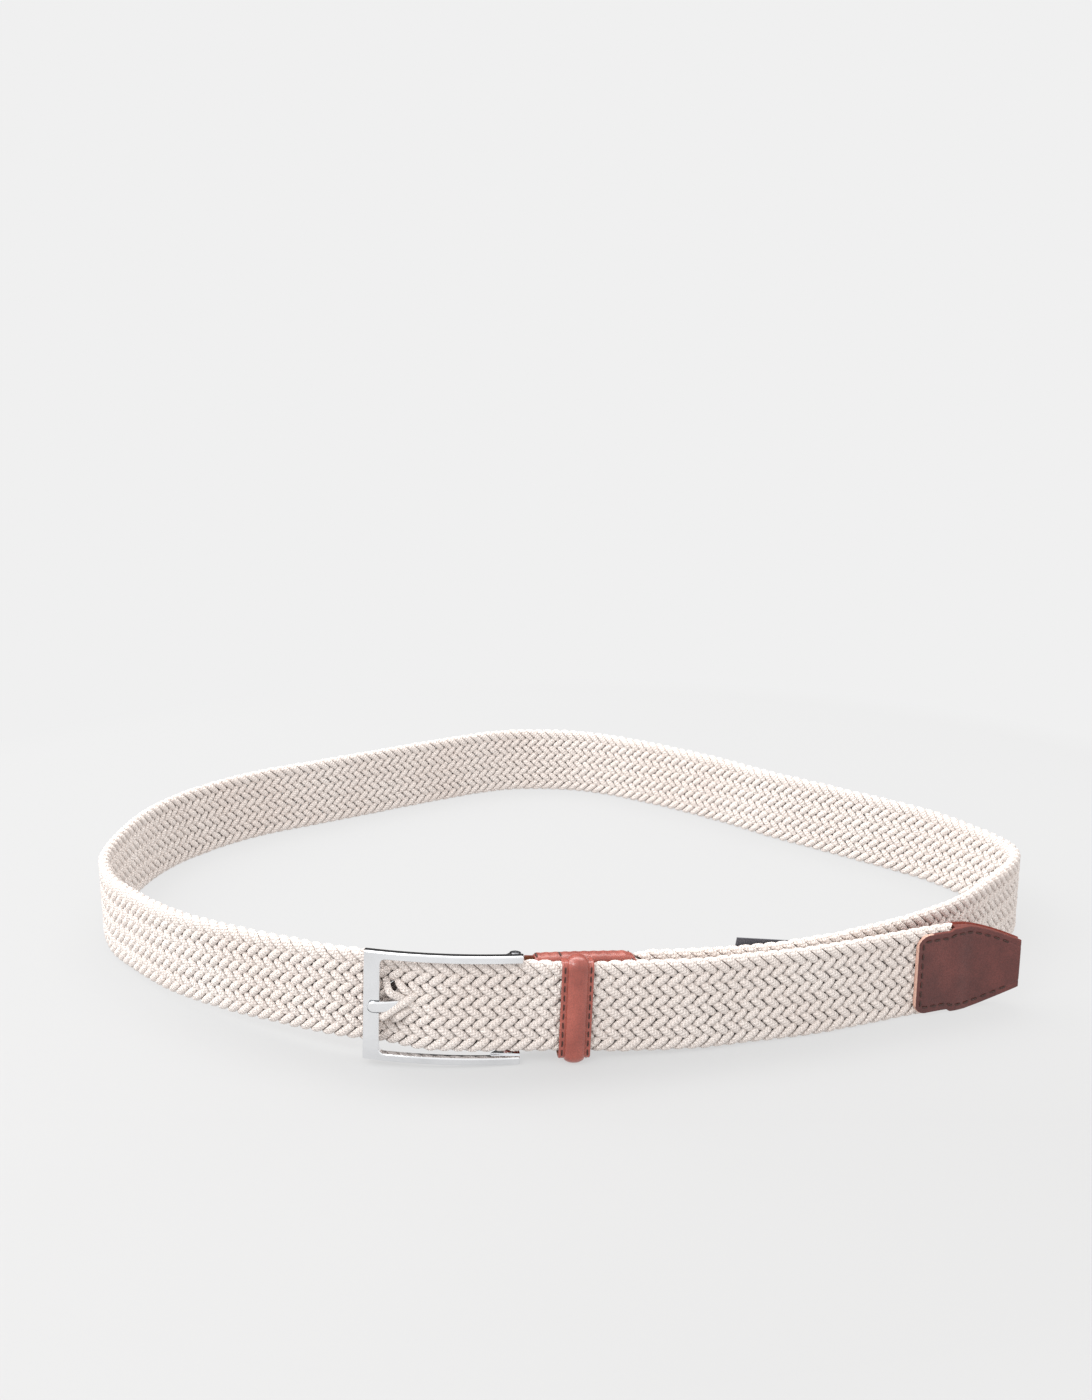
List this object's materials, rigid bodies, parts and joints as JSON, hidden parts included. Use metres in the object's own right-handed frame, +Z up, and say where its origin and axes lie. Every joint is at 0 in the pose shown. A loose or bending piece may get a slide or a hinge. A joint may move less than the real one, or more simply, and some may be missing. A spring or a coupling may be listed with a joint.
{
  "type": "braided stretch belt with pin buckle",
  "caption": "Braided stretch belt with leather chape, keeper and tip, fastened in a loop by a bowed frame buckle and a prong through the weave.",
  "frame": {"origin": "middle of the footprint on the floor, under the middle of the loop", "axes": "+Z up across the strap, +X to the wearer's left along the buckle's side towards the tip, -Y out of the buckle's front"},
  "size_m": [0.3785, 0.3138, 0.0416],
  "materials": {
    "braid": "cream braided cords, matt",
    "binding_tape": "fused cord ends under tape",
    "leather": "polished red-brown",
    "tip_leather": "polished dark red-brown",
    "lining_leather": "plain, semi-matt",
    "thread": "waxed dark thread",
    "padding": "board and cord filler, hidden",
    "chrome": "polished nickel",
    "steel": "plain wire",
    "label_fabric": "blank woven tape"
  },
  "bodies": {
    "strap": {"strap_loop": "braid", "strap_under_keeper": "braid", "braid_binding_buckle_end": "binding_tape", "chape_leather": "leather", "chape_thread": "thread", "size_label": "label_fabric", "label_thread": "thread"},
    "buckle": {"buckle_frame": "chrome", "heel_bar": "steel", "strap_in_buckle": "braid"},
    "prong": {"prong": "chrome"},
    "keeper": {"keeper_outer": "leather", "keeper_padding": "padding", "keeper_lining": "lining_leather", "keeper_staple": "steel", "keeper_thread": "thread"},
    "tail": {"strap_tail": "braid", "braid_binding_tip_end": "binding_tape", "tip_front": "tip_leather", "tip_back": "lining_leather", "tip_filler": "padding", "tip_thread": "thread"}
  },
  "joints": [
    {"name": "buckle_swing", "type": "hinge", "parent": "strap", "child": "buckle", "pos_m": [-0.016, -0.1464, 0.0202], "axis": [0.0401, 0, 0.9992], "range_deg": [0, 8], "stiffness_Nm_per_rad": 0.02},
    {"name": "prong_lift", "type": "hinge", "parent": "buckle", "child": "prong", "pos_m": [-0.016, -0.1464, 0.0202], "axis": [0.0401, 0, 0.9992], "range_deg": [0, 2.4], "stiffness_Nm_per_rad": 0.01},
    {"name": "keeper_slide", "type": "slide", "parent": "strap", "child": "keeper", "axis": [0.9919, 0.1207, -0.0401], "range_m": [-0.0012, 0.0012]},
    {"name": "tail_flex", "type": "hinge", "parent": "strap", "child": "tail", "pos_m": [0.01716, -0.15017, 0.01806], "axis": [0, 0, -1], "range_deg": [0, 25], "stiffness_Nm_per_rad": 0.02}
  ]
}
